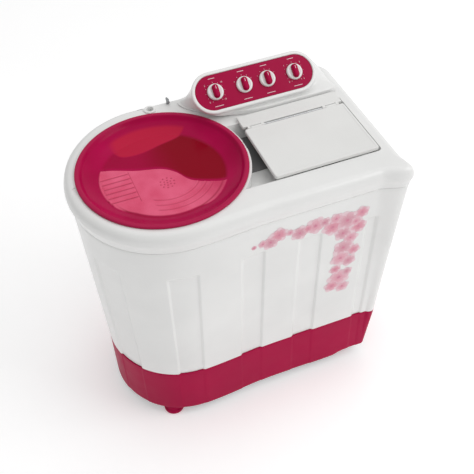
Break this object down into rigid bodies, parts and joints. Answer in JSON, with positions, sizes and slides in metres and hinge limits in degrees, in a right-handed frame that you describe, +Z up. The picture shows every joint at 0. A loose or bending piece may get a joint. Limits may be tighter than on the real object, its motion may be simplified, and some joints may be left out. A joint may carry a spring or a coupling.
{
  "type": "twin tub washer",
  "caption": "Semi-automatic twin tub washer: round wash tub with a lift-off scrub dish lid, spin basket under a hinged lid, sloping dial panel, tapered body.",
  "frame": {"origin": "on the floor, under the centre of the machine's plan", "axes": "+Z up, +Y to the back (control panel side), +X to the user's right (spin side)"},
  "size_m": [0.8276, 0.5207, 0.8968],
  "materials": {
    "white_shell": "smooth moulded white",
    "lid_plastic": "finely textured pale grey",
    "tub_plastic": "smooth white polypropylene",
    "crimson_shell": "smooth moulded crimson",
    "dish_plastic": "translucent crimson, polished",
    "grey_plastic": "plain moulded grey",
    "rubber": "matt black",
    "steel": "bright",
    "casting": "dull cast",
    "filter_mesh": "fine nylon mesh"
  },
  "bodies": {
    "cabinet": {"base_skirt": "crimson_shell", "motor_platform": "grey_plastic", "foot_front_left": "crimson_shell", "foot_front_right": "crimson_shell", "foot_rear_left": "crimson_shell", "foot_rear_right": "crimson_shell", "cabinet_shell": "white_shell", "rear_service_cover": "white_shell", "cover_screw_left": "steel", "cover_screw_right": "steel", "top_deck": "white_shell", "water_inlet_port": "white_shell", "console_housing": "white_shell", "control_panel_plate": "crimson_shell", "wash_timer_mechanism": "grey_plastic", "wash_program_switch": "grey_plastic", "drain_selector_cam": "grey_plastic", "spin_timer_mechanism": "grey_plastic", "wash_tub": "tub_plastic", "pulsator_bearing_housing": "grey_plastic", "drive_belt": "rubber", "wash_motor": "casting", "spin_well_liner": "grey_plastic", "spin_casing": "tub_plastic", "spin_shaft_seal": "rubber", "spin_motor_mount": "steel", "spin_motor": "casting", "suspension_spring_1": "steel", "suspension_spring_2": "steel", "suspension_spring_3": "steel", "brake_lever_pin": "steel", "spin_lid_hinge_strip": "lid_plastic", "lid_hinge_rod": "steel", "lid_switch": "grey_plastic", "drain_valve_body": "grey_plastic", "drain_hose": "grey_plastic", "power_cord": "rubber"},
    "wash_lid": {"wash_lid": "dish_plastic"},
    "spin_lid": {"spin_lid": "lid_plastic"},
    "pulsator_drive": {"pulsator": "tub_plastic", "pulsator_shaft": "steel", "driven_pulley": "grey_plastic"},
    "wash_motor_rotor": {"motor_pulley": "steel"},
    "spin_rotor": {"spin_basket": "steel", "basket_balance_ring": "tub_plastic", "spin_press_cover": "tub_plastic", "spin_shaft": "steel", "brake_drum": "casting"},
    "brake": {"brake_lever": "steel"},
    "wash_timer": {"wash_timer_knob": "white_shell", "wash_timer_grip": "crimson_shell"},
    "wash_program": {"wash_program_knob": "white_shell", "wash_program_grip": "crimson_shell"},
    "drain_selector": {"drain_selector_knob": "white_shell", "drain_selector_grip": "crimson_shell"},
    "spin_timer": {"spin_timer_knob": "white_shell", "spin_timer_grip": "crimson_shell"},
    "drain_plunger": {"drain_valve_plunger": "rubber"},
    "lint_filter": {"lint_filter": "filter_mesh"},
    "inlet_selector": {"inlet_selector_lever": "grey_plastic"}
  },
  "joints": [
    {"name": "wash_lid_lift", "type": "slide", "parent": "cabinet", "child": "wash_lid", "axis": [-0.4554, -0.3906, 0.8], "range_m": [0, 0.25]},
    {"name": "spin_lid_hinge", "type": "hinge", "parent": "cabinet", "child": "spin_lid", "pos_m": [0.221, 0.04, 0.803], "axis": [-1, 0, 0], "range_deg": [0, 95]},
    {"name": "pulsator_spin", "type": "hinge", "parent": "cabinet", "child": "pulsator_drive", "pos_m": [-0.1625, -0.01, 0.3], "axis": [0, 0, 1], "continuous": true},
    {"name": "wash_motor_spin", "type": "hinge", "parent": "cabinet", "child": "wash_motor_rotor", "pos_m": [0.01, 0.13, 0.15], "axis": [0, 0, 1], "continuous": true},
    {"name": "spin_basket_spin", "type": "hinge", "parent": "cabinet", "child": "spin_rotor", "pos_m": [0.207, -0.045, 0.3], "axis": [0, 0, 1], "continuous": true},
    {"name": "brake_swing", "type": "hinge", "parent": "cabinet", "child": "brake", "pos_m": [0.265, -0.065, 0.218], "axis": [0, 0, 1], "range_deg": [0, 10]},
    {"name": "wash_timer_turn", "type": "hinge", "parent": "cabinet", "child": "wash_timer", "pos_m": [0.043, 0.14746, 0.86057], "axis": [0, 0.6428, -0.766], "range_deg": [0, 300]},
    {"name": "wash_program_turn", "type": "hinge", "parent": "cabinet", "child": "wash_program", "pos_m": [0.125, 0.14746, 0.86057], "axis": [0, 0.6428, -0.766], "range_deg": [-60, 60]},
    {"name": "drain_selector_turn", "type": "hinge", "parent": "cabinet", "child": "drain_selector", "pos_m": [0.191, 0.14746, 0.86057], "axis": [0, 0.6428, -0.766], "range_deg": [0, 90]},
    {"name": "spin_timer_turn", "type": "hinge", "parent": "cabinet", "child": "spin_timer", "pos_m": [0.27, 0.14746, 0.86057], "axis": [0, 0.6428, -0.766], "range_deg": [0, 300]},
    {"name": "drain_plunger_drop", "type": "slide", "parent": "cabinet", "child": "drain_plunger", "axis": [0, 0, -1], "range_m": [0, 0.012]},
    {"name": "lint_filter_lift", "type": "slide", "parent": "cabinet", "child": "lint_filter", "axis": [0, 0, 1], "range_m": [0, 0.06]},
    {"name": "inlet_selector_turn", "type": "hinge", "parent": "cabinet", "child": "inlet_selector", "pos_m": [-0.064, 0.236, 0.79], "axis": [0, 0, 1], "range_deg": [-30, 30]}
  ],
  "couplings": [
    {"joint": "wash_motor_spin", "follows": "pulsator_spin", "ratio": 3.8},
    {"joint": "drain_plunger_drop", "follows": "drain_selector_turn", "m_per_rad": 0.0076},
    {"joint": "brake_swing", "follows": "spin_lid_hinge", "ratio": 0.105}
  ]
}
